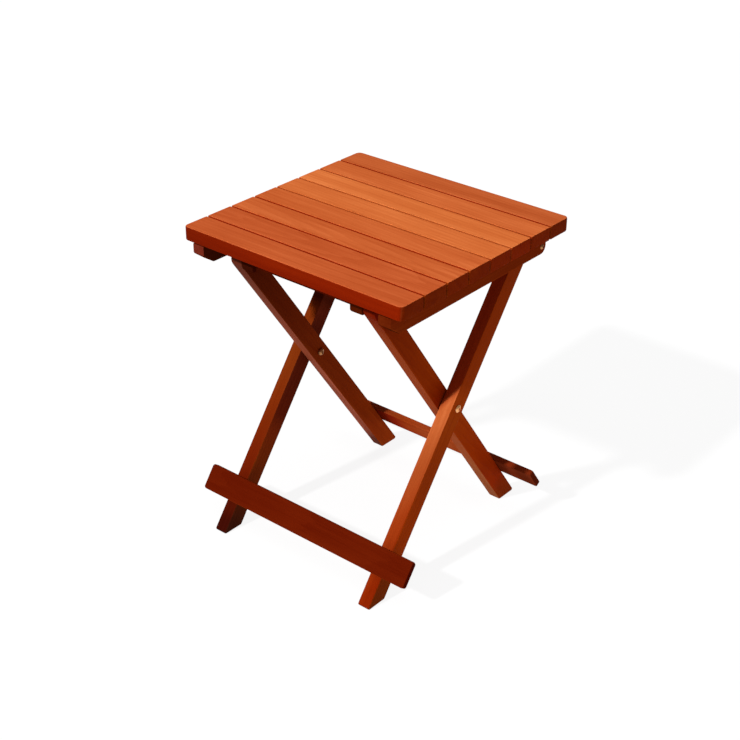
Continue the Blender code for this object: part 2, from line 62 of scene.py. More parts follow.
def round_shading():
    """Geometry nodes that close the seams between a piece's facets and shade its eased edges round."""
    tree = bpy.data.node_groups.new("round_shading", "GeometryNodeTree")
    tree.interface.new_socket("Geometry", in_out="INPUT", socket_type="NodeSocketGeometry")
    tree.interface.new_socket("Geometry", in_out="OUTPUT", socket_type="NodeSocketGeometry")
    start = tree.nodes.new("NodeGroupInput")
    merge = tree.nodes.new("GeometryNodeMergeByDistance")
    merge.inputs["Distance"].default_value = SAME_POINT
    faces = tree.nodes.new("GeometryNodeSetShadeSmooth")
    faces.domain = "FACE"
    bend = tree.nodes.new("GeometryNodeInputMeshEdgeAngle")
    sharp = tree.nodes.new("FunctionNodeCompare")
    sharp.operation = "GREATER_THAN"
    sharp.inputs["B"].default_value = SHARP_BEND
    edges = tree.nodes.new("GeometryNodeSetShadeSmooth")
    edges.domain = "EDGE"
    edges.inputs["Shade Smooth"].default_value = False
    end = tree.nodes.new("NodeGroupOutput")
    tree.links.new(start.outputs[0], merge.inputs["Geometry"])
    tree.links.new(merge.outputs[0], faces.inputs["Geometry"])
    tree.links.new(bend.outputs["Unsigned Angle"], sharp.inputs["A"])
    tree.links.new(faces.outputs[0], edges.inputs["Geometry"])
    tree.links.new(sharp.outputs["Result"], edges.inputs["Selection"])
    tree.links.new(edges.outputs[0], end.inputs[0])
    return tree


rounded = round_shading()


def dress(piece, material):
    """Gives a piece its finish, and eased edges that catch the light as one curve."""
    piece.data.materials.clear()
    piece.data.materials.append(material)
    piece.modifiers.new("rounded", "NODES").node_group = rounded
    flat_faces = piece.modifiers.new("flat_faces", "WEIGHTED_NORMAL")
    flat_faces.keep_sharp = True


def feed(material, socket, value):
    """Gives a socket a fixed value, or another node's output."""
    if isinstance(value, bpy.types.NodeSocket):
        material.node_tree.links.new(value, socket)
    elif socket.type == "RGBA":
        socket.default_value = (*value, 1)
    else:
        socket.default_value = value


def add_node(material, kind, settings=None, **sockets):
    """A shader node with its settings, and what feeds its sockets."""
    node = material.node_tree.nodes.new("ShaderNode" + kind)
    for name, value in (settings or {}).items():
        setattr(node, name, value)
    for name, value in sockets.items():
        feed(material, node.inputs[name.replace("_", " ")], value)
    return node


def reckon(material, operation, first, second=0.0):
    """A sum on two values, each a number or an output."""
    node = add_node(material, "Math", {"operation": operation})
    feed(material, node.inputs[0], first)
    feed(material, node.inputs[1], second)
    return node.outputs[0]


def mix_colours(material, amount, under, over, way="MIX"):
    """Lays one colour over another, as far as the amount says."""
    node = add_node(material, "Mix", {"data_type": "RGBA", "blend_type": way})
    # The node lists its sockets for numbers and vectors first, under the same names
    factor, first, second = node.inputs[0], node.inputs[6], node.inputs[7]
    feed(material, factor, amount)
    feed(material, first, under)
    feed(material, second, over)
    return node.outputs[2]


def span(material, value, low, high, to_low=0.0, to_high=1.0):
    """Maps a value's stretch from low to high onto another stretch, and holds it there."""
    mapped = add_node(material, "MapRange", Value=value, From_Min=low, From_Max=high, To_Min=to_low,
                      To_Max=to_high)
    return mapped.outputs["Result"]


def colour_ramp(material, value, stops):
    """Colours that change with a value from 0 to 1; each stop is a place and a colour."""
    ramp = add_node(material, "ValToRGB", Fac=value)
    marks = ramp.color_ramp.elements
    for mark, (place, colour) in zip(marks, (stops[0], stops[-1])):
        mark.position = place
        mark.color = (*colour, 1)
    for place, colour in stops[1:-1]:
        marks.new(place).color = (*colour, 1)
    return ramp.outputs["Color"]


def scaled(material, place, scale):
    """Coordinates drawn out or pressed together along the three axes."""
    node = add_node(material, "VectorMath", {"operation": "MULTIPLY"})
    feed(material, node.inputs[0], place)
    feed(material, node.inputs[1], scale)
    return node.outputs[0]


def grain_noise(material, place, along, across, detail):
    """Noise drawn out along the grain; the sizes are those of one fleck, in metres."""
    drawn = scaled(material, place, (1 / along, 1 / across, 1 / across))
    return add_node(material, "TexNoise", Vector=drawn, Scale=1.0, Detail=detail).outputs["Fac"]


def new_material(name):
    """A material and its shader."""
    material = bpy.data.materials.new(name)
    material.use_nodes = True
    return material, material.node_tree.nodes["Principled BSDF"]


def tinted(colour, tint):
    """A colour seen through a tint."""
    return tuple(part * share for part, share in zip(colour, tint))


def stain_and_shade_along(wood, place, start, steps, lean):
    """Stain and painted light and shade in steps along a board, from a start, that may lean across it."""
    board = add_node(wood, "SeparateXYZ", Vector=place).outputs
    reach = reckon(wood, "ADD", board["X"], reckon(wood, "MULTIPLY", board["Y"], lean))
    first = steps[0][0]
    last = steps[-1][0]
    stops = [((step - first) / (last - first), tint) for step, tint in steps]
    return colour_ramp(wood, span(wood, reach, start + first, start + last), stops)


# The grain's marks: the length and width of one, and how finely it is broken up
BANDS = (0.45, 0.012, 3.0)
FIBRES = (0.06, 0.0022, 2.0)
PORES = (0.016, 0.0009, 1.0)
CLOUDS = (0.16, 0.05, 2.0)       # patches where the stain lies deeper
RING_WIDTH = 0.0055              # one year's growth
LOG_TAPER = 0.07                 # how fast the growth rings close along the log
RING_WAVE = {"wave_type": "RINGS", "rings_direction": "SPHERICAL", "wave_profile": "SAW"}
RING_WANDER = {"Distortion": 3.0, "Detail": 2.0, "Detail_Scale": 1.2}
WAVE_PHASE = 20                  # the ring texture's own radians for each metre
# How much of the figure each of them makes, and where in it the deep, plain and light wood lie
BAND_SHARE = 0.54
RING_SHARE = 0.12
FIBRE_SHARE = 0.34
DEEP_STOP = 0.28
PLAIN_STOP = 0.50
LIGHT_STOP = 0.72
DEEP_GRAIN = (0.80, 0.66, 0.55)
LIGHT_GRAIN = (1.16, 1.32, 1.50)
PORE_RANGE = (0.60, 0.74)        # only the noise's peaks are pores
PORE_DEPTH = 0.35
CLOUD_RANGE = (0.38, 0.66)
CLOUD_DEPTH = 0.4
# How squarely a face has to look sideways, down or along the grain to begin and to be wholly tinted
SIDE_FACING = (0.35, 0.85)
UNDER_FACING = (-0.35, -0.75)
END_FACING = (0.45, 0.85)
# Long edges are rubbed lighter by hands, more in some patches than in others
EDGE_SENSE = {"inside": True, "only_local": True, "samples": 4}
EDGE_WIDTH = 0.003
EDGE_RANGE = (0.92, 0.45)
WORN_EDGE = (1.13, 1.26, 1.42)
WEAR_RANGE = (0.40, 0.62)
WEAR_DEPTH = (0.15, 0.6)
OIL_SHEEN = 0.003                # oiled long ago
AMBER_OIL = (1.0, 0.5, 0.15)
FIBRE_RANGE = (0.3, 0.7)
WOOD_ROUGHNESS = (0.38, 0.56)
RELIEF_STRENGTH = 0.25
RELIEF_HEIGHT = 0.0004


def hardwood(name, turn, log_place, body, sides, ends, under=None, outer_side=None, stains_and_shades=(),
             sheen=OIL_SHEEN):
    """Stained hardwood, alike all through the board, its grain along the turned x axis.

    Sides, ends and under tint the faces across the grain, at its ends and below; under is painted shade.
    outer_side tints the one side that lies towards +y. Each list of steps tints the board in steps down its
    length, most as painted light and shade: the point that they are measured from, each step's place
    and tint, how far the faces and the sides take it, and the steps' lean.
    """
    wood, shader = new_material(name)
    deep = tinted(body, DEEP_GRAIN)
    where = add_node(wood, "TexCoord").outputs
    place = add_node(wood, "Mapping", Vector=where["Object"], Rotation=turn, Location=log_place).outputs[0]
    facing = add_node(wood, "Mapping", {"vector_type": "VECTOR"}, Vector=where["Normal"], Rotation=turn)
    faces = add_node(wood, "SeparateXYZ", Vector=facing.outputs[0]).outputs

    bands = grain_noise(wood, place, *BANDS)
    fibres = grain_noise(wood, place, *FIBRES)
    pores = span(wood, grain_noise(wood, place, *PORES), *PORE_RANGE)
    clouds = grain_noise(wood, place, *CLOUDS)
    rings = add_node(wood, "TexWave", RING_WAVE, Vector=scaled(wood, place, (LOG_TAPER, 1, 1)),
                     Scale=2 * pi / (WAVE_PHASE * RING_WIDTH), **RING_WANDER).outputs["Fac"]
    figure = reckon(wood, "MULTIPLY", bands, BAND_SHARE)
    figure = reckon(wood, "ADD", figure, reckon(wood, "MULTIPLY", rings, RING_SHARE))
    figure = reckon(wood, "ADD", figure, reckon(wood, "MULTIPLY", fibres, FIBRE_SHARE))
    shades = ((DEEP_STOP, deep), (PLAIN_STOP, body), (LIGHT_STOP, tinted(body, LIGHT_GRAIN)))
    colour = colour_ramp(wood, figure, shades)
    colour = mix_colours(wood, reckon(wood, "MULTIPLY", pores, PORE_DEPTH), colour, deep)
    colour = mix_colours(wood, span(wood, clouds, *CLOUD_RANGE, 0.0, CLOUD_DEPTH), colour, deep)

    across = span(wood, reckon(wood, "ABSOLUTE", faces["Y"]), *SIDE_FACING)
    colour = mix_colours(wood, across, colour, sides, "MULTIPLY")
    if outer_side:
        outwards = span(wood, faces["Y"], *SIDE_FACING)
        colour = mix_colours(wood, outwards, colour, outer_side, "MULTIPLY")
    # The tint under is painted shade on the faces below
    if under:
        under_shade_mask = span(wood, faces["Z"], *UNDER_FACING)
        colour = mix_colours(wood, under_shade_mask, colour, under, "MULTIPLY")
    # Most of these steps are painted light and shade along the board
    for origin, steps, (face_share, side_share), lean in stains_and_shades:
        middle = Euler(turn).to_matrix() @ Vector(origin) + Vector(log_place)
        stain_and_shade = stain_and_shade_along(wood, place, middle.x + lean * middle.y, steps, lean)
        share = span(wood, across, 0.0, 1.0, face_share, side_share)
        colour = mix_colours(wood, share, colour, stain_and_shade, "MULTIPLY")
    cut = span(wood, reckon(wood, "ABSOLUTE", faces["X"]), *END_FACING)
    colour = mix_colours(wood, cut, colour, ends, "MULTIPLY")

    edge = add_node(wood, "AmbientOcclusion", EDGE_SENSE, Distance=EDGE_WIDTH).outputs["AO"]
    rubbed = reckon(wood, "MULTIPLY", span(wood, edge, *EDGE_RANGE),
                    span(wood, clouds, *WEAR_RANGE, *WEAR_DEPTH))
    colour = mix_colours(wood, rubbed, colour, WORN_EDGE, "MULTIPLY")
    feed(wood, shader.inputs["Base Color"], colour)
    feed(wood, shader.inputs["Roughness"], span(wood, fibres, *FIBRE_RANGE, *WOOD_ROUGHNESS))
    feed(wood, shader.inputs["Specular IOR Level"], sheen)
    feed(wood, shader.inputs["Specular Tint"], AMBER_OIL)
    relief = reckon(wood, "SUBTRACT", fibres, pores)
    bump = add_node(wood, "Bump", Height=relief, Strength=RELIEF_STRENGTH, Distance=RELIEF_HEIGHT)
    feed(wood, shader.inputs["Normal"], bump.outputs[0])
    return wood


def leg_turn(slope):
    """Turns a leg's length onto the grain's axis."""
    return (-slope, 0, -pi / 2)


def sawn_from(log_place, further):
    """The place in the log of a board that was sawn further along it."""
    return (log_place[0] + further, *log_place[1:])


PLAIN = (1.0, 1.0, 1.0)
NO_LEAN = 0.0                    # the steps run straight across the board
SIDES_ONLY = (0.0, 1.0)
FACES_ONLY = (1.0, 0.0)
LEG_END = (0.55, 0.42, 0.40)
OUTER_LEG_LOG = (0.31, 0.04, 0.055)
OUTER_LEG_BODY = {"left": (0.196, 0.0300, 0.0035), "right": (0.505, 0.117, 0.030)}
OUTER_LEG_SIDE = {"left": (1.22, 1.20, 1.60), "right": (0.71, 0.385, 0.065)}
# How far faces and sides take the steps, and their lean: the right leg's painted shadow edge slants across its
# face as the inner leg's cast shadow does
OUTER_LEG_STEP_SHARES = {"left": (1.0, 0.9), "right": (1.0, 0.35)}
SHADOW_EDGE_LEAN = {"left": NO_LEAN, "right": 1.69}
# Tints at places up and down from the scissor bolt: darker towards the foot, and painted shadow above the
# bolt, under the top; on the right leg its edge is that of the inner leg's cast shadow
OUTER_LEG_TONE_AND_SHADOW = {
    "left": [(-0.300, (0.20, 0.11, 0.35)), (-0.235, (0.62, 0.30, 0.30)), (-0.180, (0.75, 0.43, 0.40)),
             (-0.095, (0.94, 0.77, 0.70)), (-0.035, PLAIN), (0.058, PLAIN), (0.078, (0.35, 0.25, 0.20))],
    "right": [(-0.295, (0.41, 0.13, 0.03)), (-0.180, (0.53, 0.28, 0.15)), (-0.095, (0.70, 0.58, 0.50)),
              (-0.030, (0.95, 0.97, 1.00)), (-0.003, PLAIN), (0.020, (0.48, 0.19, 0.12))],
}
# Painted shade on the left leg's side by the inner leg; the right leg's side is dark at the foot
OUTER_LEG_SIDE_TONE_AND_SHADE = {
    "left": [(-0.300, (0.75, 1.30, 1.40)), (-0.195, (1.15, 1.70, 1.00)), (-0.145, (1.06, 1.12, 1.00)),
             (-0.115, (0.62, 0.52, 0.80)), (-0.060, (0.52, 0.41, 0.80)), (0.060, (0.55, 0.46, 0.90)),
             (0.100, PLAIN)],
    "right": [(-0.300, (0.66, 0.85, 0.80)), (-0.265, (0.80, 0.88, 0.80)), (-0.215, (1.22, 1.14, 0.60)),
              (-0.120, PLAIN)],
}
for side in SIDES:
    leg = frame["nodes"][f"outer_leg_{side}"]
    lowest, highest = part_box(leg.name)
    crossing = ((lowest[0] + highest[0]) / 2, scissor.y, scissor.z)
    # Each leg's steps hold painted shadow and shade besides its tone
    stains_and_shades = [(crossing, OUTER_LEG_TONE_AND_SHADOW[side], OUTER_LEG_STEP_SHARES[side], SHADOW_EDGE_LEAN[side]),
              (crossing, OUTER_LEG_SIDE_TONE_AND_SHADE[side], SIDES_ONLY, NO_LEAN)]
    log_place = sawn_from(OUTER_LEG_LOG, lowest[0])
    wood = hardwood(f"outer_leg_wood_{side}", leg_turn(outer_slope), log_place, OUTER_LEG_BODY[side],
                    OUTER_LEG_SIDE[side], LEG_END, stains_and_shades=stains_and_shades)
    dress(leg, wood)

# Front stretcher
# A thin board across the outer legs, above the feet, sawn from a darker and redder plank, stained but not
# oiled. Four blind beech pegs, glued into the legs from behind, hold it, so that its face is bare.
NO_SHEEN = 0.0                   # never oiled
FRONT_BOARD_LOG = (1.7, 0.03, 0.05)
FRONT_BOARD_BODY = (0.103, 0.0072, 0.0008)
FRONT_BOARD_EDGE = (2.2, 3.2, 3.0)
BOARD_END = (0.70, 0.55, 0.50)
front_board = hardwood("front_stretcher_wood", (-outer_slope, 0, 0), FRONT_BOARD_LOG, FRONT_BOARD_BODY,
                       FRONT_BOARD_EDGE, BOARD_END, sheen=NO_SHEEN)
dress(frame["nodes"]["front_stretcher"], front_board)
PEG_LOG = (0.2, 0.03, 0.02)
PEG_BODY = (0.55, 0.36, 0.20)
beech = hardwood("peg_beech", (0, pi / 2, 0), PEG_LOG, PEG_BODY, PLAIN, PLAIN)
for side in SIDES:
    for number in (1, 2):
        dress(frame["nodes"][f"front_peg_{side}_{number}"], beech)

# Inner legs
# The second pair of legs, of the same timber and make, which pass between the outer pair. Their rounded
# tops carry the catch bar and their feet stand at the back of the table.
lowest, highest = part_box("catch_bar")
bar_middle = (Vector(lowest) + Vector(highest)) / 2
inner_slope = atan2(bar_middle.z - scissor.z, bar_middle.y - scissor.y)
ALL_ROUND = (1.0, 1.0)
INNER_LEG_LOG = (2.4, 0.05, 0.04)
# The inner legs' front faces carry a pink lift in green and blue, a painted reflection of the pale floor, which
# the sides' tint takes back off their sides
INNER_LEG_BODY_AND_SHEEN = {"left": (0.420, 0.088, 0.041), "right": (0.292, 0.048, 0.009)}
INNER_LEG_SIDE = {"left": (0.77, 0.430, 0.070), "right": (1.10, 0.690, 0.100)}
# Painted shade under the top, deepening towards the legs' tops; the right leg is also darker at its foot
INNER_LEG_TONE_AND_SHADE = {
    "left": [(-0.300, PLAIN), (0.280, (0.22, 0.20, 0.20))],
    "right": [(-0.300, (0.82, 0.80, 0.80)), (-0.150, (1.04, 0.96, 0.90)), (0.000, PLAIN),
              (0.215, (0.78, 0.69, 0.61)), (0.262, (0.52, 0.18, 0.07))],
}
# The left toe is darker in front; the right leg's front is paler low down, a painted reflection of the pale
# floor, and its side changes in tone along it, with painted shade where the outer leg passes it
DARKER_TOE = [(-0.300, (0.20, 0.15, 0.12)), (-0.270, (0.26, 0.20, 0.17)), (-0.235, (0.70, 0.66, 0.60)),
             (-0.170, (1.05, 1.10, 1.10))]
# Painted reflection of the pale floor
FLOOR_REFLECTION_PAINT = [(-0.200, (1.00, 1.60, 2.40)), (-0.040, PLAIN)]
# Painted shade where the outer leg passes, and the side's tone along the leg
PASSING_LEG_TONE_AND_SHADE = [(-0.300, (0.90, 0.95, 1.60)), (-0.275, (1.00, 1.00, 1.60)), (-0.250, (1.20, 0.92, 1.00)),
                 (-0.200, (1.06, 0.90, 0.90)), (-0.150, (1.05, 0.98, 0.95)), (-0.060, (1.17, 1.30, 1.00)),
                 (-0.010, (1.05, 0.95, 0.90)), (0.025, (0.80, 0.58, 0.55)), (0.065, PLAIN)]
for side in SIDES:
    leg = frame["nodes"][f"inner_leg_{side}"]
    stains_and_shades = [(scissor, INNER_LEG_TONE_AND_SHADE[side], ALL_ROUND, NO_LEAN)]
    if side == "left":
        stains_and_shades.append((scissor, DARKER_TOE, FACES_ONLY, NO_LEAN))
    else:
        stains_and_shades.append((scissor, FLOOR_REFLECTION_PAINT, FACES_ONLY, NO_LEAN))
        stains_and_shades.append((scissor, PASSING_LEG_TONE_AND_SHADE, SIDES_ONLY, NO_LEAN))
    log_place = sawn_from(INNER_LEG_LOG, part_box(leg.name)[0][0])
    wood = hardwood(f"inner_leg_wood_{side}", leg_turn(inner_slope), log_place, INNER_LEG_BODY_AND_SHEEN[side],
                    INNER_LEG_SIDE[side], LEG_END, stains_and_shades=stains_and_shades)
    dress(leg, wood)

# Rear stretcher
# The same thin board again, across the inner legs near their feet, on four blind pegs of its own. Its
# faces and its sawn edges are darker next to the legs: painted shade.
TABLE_MIDDLE = (0, 0, 0)
REAR_BOARD_LOG = (3.1, 0.03, 0.05)
REAR_BOARD_BODY = (0.25, 0.042, 0.009)
REAR_BOARD_EDGE = (1.12, 1.05, 1.05)
# Painted shade on the faces and the edges next to the legs
REAR_FACE_PAINTED_SHADE = [(-0.105, (0.52, 0.17, 0.14)), (-0.076, (0.87, 0.35, 0.43)), (-0.050, (1.18, 0.90, 0.75)),
                   (-0.015, (1.28, 1.25, 1.28)), (0.100, (1.15, 1.15, 1.20)), (0.135, (0.58, 0.48, 0.65))]
REAR_EDGE_PAINTED_SHADE = [(-0.110, (0.80, 0.80, 1.10)), (-0.076, (0.85, 0.90, 0.80)), (-0.050, (1.02, 0.95, 0.75)),
                   (-0.015, PLAIN), (0.100, PLAIN), (0.135, (0.55, 0.43, 0.46))]
rear_painted_shade = [(TABLE_MIDDLE, REAR_FACE_PAINTED_SHADE, FACES_ONLY, NO_LEAN),
               (TABLE_MIDDLE, REAR_EDGE_PAINTED_SHADE, SIDES_ONLY, NO_LEAN)]
rear_board = hardwood("rear_stretcher_wood", (-inner_slope, 0, 0), REAR_BOARD_LOG, REAR_BOARD_BODY,
                      REAR_BOARD_EDGE, BOARD_END, stains_and_shades=rear_painted_shade, sheen=NO_SHEEN)
dress(frame["nodes"]["rear_stretcher"], rear_board)
for side in SIDES:
    for number in (1, 2):
        dress(frame["nodes"][f"rear_peg_{side}_{number}"], beech)

# Catch bar
# A round hardwood dowel between the tops of the inner legs, glued into blind holes and coloured far darker
# than they are: painted shade under the top. The hooks under the top drop over it when the table stands.
NO_TURN = (0, 0, 0)
BAR_LOG = (0.5, 0.02, -0.45)
BAR_BODY_AND_SHADE = (0.085, 0.006, 0.0008)
bar_wood = hardwood("bar_wood", NO_TURN, BAR_LOG, BAR_BODY_AND_SHADE, PLAIN, LEG_END, sheen=NO_SHEEN)
dress(frame["nodes"]["catch_bar"], bar_wood)

# Scissor bolts
# Brass-plated joint bolts with low round heads and hexagon sockets, one through each pair of crossed legs.
# A steel washer keeps the legs apart, and a round cap nut with painted shade closes the bolt on the inner leg.
ROUND_STEPS = 48
around = [2 * pi * step / ROUND_STEPS for step in range(ROUND_STEPS)]
DOME_RINGS = 6
RIM_EASE = 0.0002                # how far a rim's lower edge is turned away
RIM_HEIGHT = 0.0003              # the upright part of a head's rim
SOCKET_LIP = 0.7                 # the dome's inmost ring, as a share of the socket's width across flats
FIT = 0.0003                     # play between a bolt and its hole


def ring(height, radius):
    """One round cut of the lathe, the same all the way round."""
    return [(height, radius)] * ROUND_STEPS


def six_sided(flats):
    """How far a hexagon's edge is from its middle, all the way round, from its width across flats."""
    return [flats / 2 / cos((angle % (pi / 3)) - pi / 6) for angle in around]


def socket_head(low, rise, radius, flats, depth):
    """The rings of a low round head with a hexagon socket, from its rim inwards."""
    ball = (radius**2 + rise**2) / (2 * rise)

    def dome(reach):
        return low + rise - ball + sqrt(ball**2 - reach**2)

    socket = six_sided(flats)
    rings = [ring(low, radius - RIM_EASE)]
    for step in range(DOME_RINGS):
        reach = radius + (flats * SOCKET_LIP - radius) * step / (DOME_RINGS - 1)
        rings.append(ring(max(dome(reach), low + RIM_HEIGHT), reach))
    rings.append([(dome(reach), reach) for reach in socket])
    rings.append([(dome(0) - depth, reach) for reach in socket])
    return rings


def socket_bolt(length, shank, rise, head, flats, depth):
    """The rings of a bolt with such a head, from the end of its shank."""
    neck = length - rise
    rings = [ring(0, shank - FIT), ring(FIT, shank), ring(neck, shank)]
    return rings + socket_head(neck, rise, head, flats, depth)


def collar(bore, radius, length, ease):
    """The rings of a flat washer or spacer with eased rims."""
    outside = [ring(0, radius - ease), ring(ease, radius), ring(length - ease, radius),
               ring(length, radius - ease)]
    inside = [ring(length, bore + ease), ring(length - ease, bore), ring(ease, bore), ring(0, bore + ease)]
    return outside + inside


def turned_piece(node_name, rings, foot, axis, material, hollow=False):
    """A turned or pressed metal piece in place of a plain one: rings stacked along an axis from its foot."""
    form = bmesh.new()
    stand = Vector(axis).to_track_quat("Z", "Y").to_matrix()
    loops = []
    for cut in rings:
        points = [Vector((reach * cos(angle), reach * sin(angle), height))
                  for angle, (height, reach) in zip(around, cut)]
        loops.append([form.verts.new(Vector(foot) + stand @ point) for point in points])
    pairs = list(zip(loops, loops[1:]))
    if hollow:
        pairs.append((loops[-1], loops[0]))
    else:
        form.faces.new(reversed(loops[0]))
        form.faces.new(loops[-1])
    for lower, upper in pairs:
        for step in range(ROUND_STEPS):
            following = (step + 1) % ROUND_STEPS
            form.faces.new((lower[step], lower[following], upper[following], upper[step]))
    mesh = bpy.data.meshes.new(f"turned_{node_name}")
    form.to_mesh(mesh)
    form.free()
    piece = bpy.data.objects.new(f"turned_{node_name}", mesh)
    bpy.context.scene.collection.objects.link(piece)
    dress(piece, material)
    bodies = frame["record"]["behaviour"]["bodies"]
    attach(piece, next(body for body, nodes in bodies.items() if node_name in nodes))
    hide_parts(node_name)


PATCHES = {"Scale": 260.0, "Detail": 3.0}
SCRATCHES = {"Scale": 1900.0, "Detail": 2.0}
TARNISH_RANGE = (0.42, 0.68)
ROUGH_RANGE = (0.35, 0.70)
ROUGHER = 0.2                    # how much rougher the dullest patches are
SCRATCH_STRENGTH = 0.1
SCRATCH_DEPTH = 0.0001


def plated(name, colour, dull, roughness):
    """Plated steel with dull patches and fine scratches."""
    metal, shader = new_material(name)
    where = add_node(metal, "TexCoord").outputs["Object"]
    patches = add_node(metal, "TexNoise", Vector=where, **PATCHES).outputs["Fac"]
    scratches = add_node(metal, "TexNoise", Vector=where, **SCRATCHES).outputs["Fac"]
    tarnish = span(metal, patches, *TARNISH_RANGE)
    uneven = span(metal, patches, *ROUGH_RANGE, roughness, roughness + ROUGHER)
    bump = add_node(metal, "Bump", Height=scratches, Strength=SCRATCH_STRENGTH, Distance=SCRATCH_DEPTH)
    feed(metal, shader.inputs["Base Color"], mix_colours(metal, tarnish, colour, dull))
    feed(metal, shader.inputs["Roughness"], uneven)
    feed(metal, shader.inputs["Metallic"], 1.0)
    feed(metal, shader.inputs["Normal"], bump.outputs[0])
    return metal


brass = plated("brass_plate", colour=(0.98, 0.50, 0.22), dull=(0.86, 0.40, 0.16), roughness=0.45)
# The darker brass is painted shade on the scissor nuts
darker_brass = plated("darker_brass", colour=(0.50, 0.23, 0.09), dull=(0.34, 0.14, 0.05), roughness=0.36)
zinc = plated("zinc_plate", colour=(0.62, 0.63, 0.64), dull=(0.42, 0.43, 0.45), roughness=0.32)
TO_THE_RIGHT = (1, 0, 0)
SCISSOR_SHANK = 0.0030
SCISSOR_HEAD_RISE = 0.0030
SCISSOR_SOCKET = 0.0040
SCISSOR_SOCKET_DEPTH = 0.0022
SCISSOR_NUT_DEPTH = 0.0030
SCISSOR_NUT_SOCKET_DEPTH = 0.0018
WASHER_EASE = 0.0002
for side, way in SIDES.items():
    lowest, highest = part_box(f"scissor_bolt_{side}")
    length = highest[0] - lowest[0]
    end_x = min(abs(lowest[0]), abs(highest[0]))
    head = (highest[1] - lowest[1]) / 2
    bolt = socket_bolt(length, SCISSOR_SHANK, SCISSOR_HEAD_RISE, head, SCISSOR_SOCKET, SCISSOR_SOCKET_DEPTH)
    foot = (way * end_x, scissor.y, scissor.z)
    turned_piece(f"scissor_bolt_{side}", bolt, foot, (way, 0, 0), brass)

    lowest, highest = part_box(f"scissor_washer_{side}")
    bore = SCISSOR_SHANK + FIT
    washer = collar(bore, (highest[1] - lowest[1]) / 2, highest[0] - lowest[0], WASHER_EASE)
    foot = (lowest[0], scissor.y, scissor.z)
    turned_piece(f"scissor_washer_{side}", washer, foot, TO_THE_RIGHT, zinc, hollow=True)

    lowest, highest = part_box(f"scissor_nut_{side}")
    seat_x = max(abs(lowest[0]), abs(highest[0]))
    rim = (highest[1] - lowest[1]) / 2
    cap_rise = highest[0] - lowest[0] - SCISSOR_NUT_DEPTH
    nut = [ring(SCISSOR_NUT_DEPTH + FIT, bore), ring(0, bore), ring(0, rim - RIM_EASE), ring(RIM_EASE, rim)]
    nut += socket_head(SCISSOR_NUT_DEPTH, cap_rise, rim, SCISSOR_SOCKET, SCISSOR_NUT_SOCKET_DEPTH)
    foot = (way * seat_x, scissor.y, scissor.z)
    turned_piece(f"scissor_nut_{side}", nut, foot, (-way, 0, 0), darker_brass)

# Slats
# Eight planed slats, stained and oiled, laid across the rails with thin gaps and glued down on blind beech
# pegs. The stain took deeper on the top's outer edges and its sawn ends than on the planed faces.
SLAT_LOG = (0.0, 0.11, -0.46)
SLAT_LOG_STEP = 0.37             # each slat was sawn this much further along the log
SLAT_BODY = (0.555, 0.114, 0.029)
# Each slat's own tone; the lift on slats five and six is a painted sheen
SLAT_TONES_AND_SHEEN = ((0.93, 0.87, 0.90), (0.92, 0.85, 0.88), (1.00, 1.03, 1.04), (1.01, 1.05, 1.03),
               (1.11, 1.29, 1.25), (1.19, 1.49, 1.50), (1.04, 1.14, 1.15), (0.90, 0.92, 0.95))
SLAT_END = (0.350, 0.144, 0.020)
# Painted shade on the slats' undersides
SLAT_UNDER_SHADE = (0.60, 0.40, 0.30)
OUTER_EDGE = (0.332, 0.092, 0.020)
OUTER_EDGE_STAIN = ((0.87, 0.90, 1.00), (1.21, 1.24, 1.00))
# The sides of the gaps, from the front edge of each slat, and their tint at the gaps' open ends
# The gaps' sides are lighter than the slats' outer edges, most in the rear gaps: painted light on the shade inside
# the gaps
FRONT_GAP_LIGHTENED = (0.50, 0.13, 0.03)
REAR_GAP_LIGHTENED = (0.58, 0.40, 0.28)
GAP_SIDES = (OUTER_EDGE, FRONT_GAP_LIGHTENED, FRONT_GAP_LIGHTENED, FRONT_GAP_LIGHTENED, REAR_GAP_LIGHTENED, REAR_GAP_LIGHTENED, REAR_GAP_LIGHTENED, FRONT_GAP_LIGHTENED)
# At the gaps' open ends their sides are lightened at the front and darkened at the rear: painted light and painted
# shade
GAP_END_LIGHT_AND_SHADE = {FRONT_GAP_LIGHTENED: (1.04, 2.85, 3.50), REAR_GAP_LIGHTENED: (0.76, 0.48, 0.40)}
GAP_END_REACH = 0.008            # how far into a gap its ends' tint goes
slat_left, slat_right = (corner[0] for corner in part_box("slat_2"))
for number, (tone_and_sheen, sides) in enumerate(zip(SLAT_TONES_AND_SHEEN, GAP_SIDES), start=1):
    body = tinted(SLAT_BODY, tone_and_sheen)
    log_place = sawn_from(SLAT_LOG, SLAT_LOG_STEP * number)
    ends = (SLAT_END[0], SLAT_END[1] / tone_and_sheen[1], SLAT_END[2] / tone_and_sheen[2])
    outer_side = None
    if number == len(SLAT_TONES_AND_SHEEN):
        outer_side = tinted(OUTER_EDGE, [1 / part for part in sides])
    if sides == OUTER_EDGE:
        steps = list(zip((slat_left, slat_right), OUTER_EDGE_STAIN))
    else:
        steps = [(slat_left, GAP_END_LIGHT_AND_SHADE[sides]), (slat_left + GAP_END_REACH, PLAIN),
                 (slat_right - GAP_END_REACH, PLAIN), (slat_right, GAP_END_LIGHT_AND_SHADE[sides])]
    slat_wood = hardwood(f"slat_wood_{number}", NO_TURN, log_place, body, sides, ends, SLAT_UNDER_SHADE,
                         outer_side, stains_and_shades=[(TABLE_MIDDLE, steps, SIDES_ONLY, NO_LEAN)])
    dress(frame["nodes"][f"slat_{number}"], slat_wood)
    for side in SIDES:
        dress(frame["nodes"][f"slat_peg_{side}_{number}"], beech)

